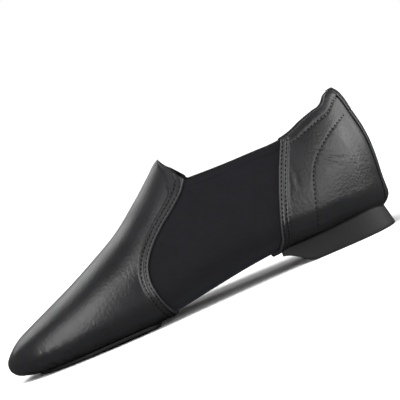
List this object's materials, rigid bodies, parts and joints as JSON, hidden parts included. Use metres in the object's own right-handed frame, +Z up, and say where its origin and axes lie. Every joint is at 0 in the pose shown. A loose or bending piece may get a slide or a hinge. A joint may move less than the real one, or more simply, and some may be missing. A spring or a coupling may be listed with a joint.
{
  "type": "jazz dance shoe",
  "caption": "Low black leather slip-on dance shoe with a stretch waist, a pointed vamp, a low rubber heel and a thin rubber forefoot sole.",
  "frame": {"origin": "on the floor, under the middle of the shoe's bounding box", "axes": "+X towards the toe, +Y towards the inner side of the foot, +Z up from the floor"},
  "size_m": [0.2436, 0.0956, 0.0868],
  "materials": {
    "leather": "satin",
    "stretch_fabric": "matte",
    "sole_rubber": "matte",
    "insole_fabric": "matte"
  },
  "bodies": {
    "root": {"upper": "stretch_fabric", "vamp": "leather", "quarter": "leather", "back_strip": "leather", "heel": "sole_rubber", "forefoot_sole": "sole_rubber", "insole": "insole_fabric"}
  },
  "joints": []
}
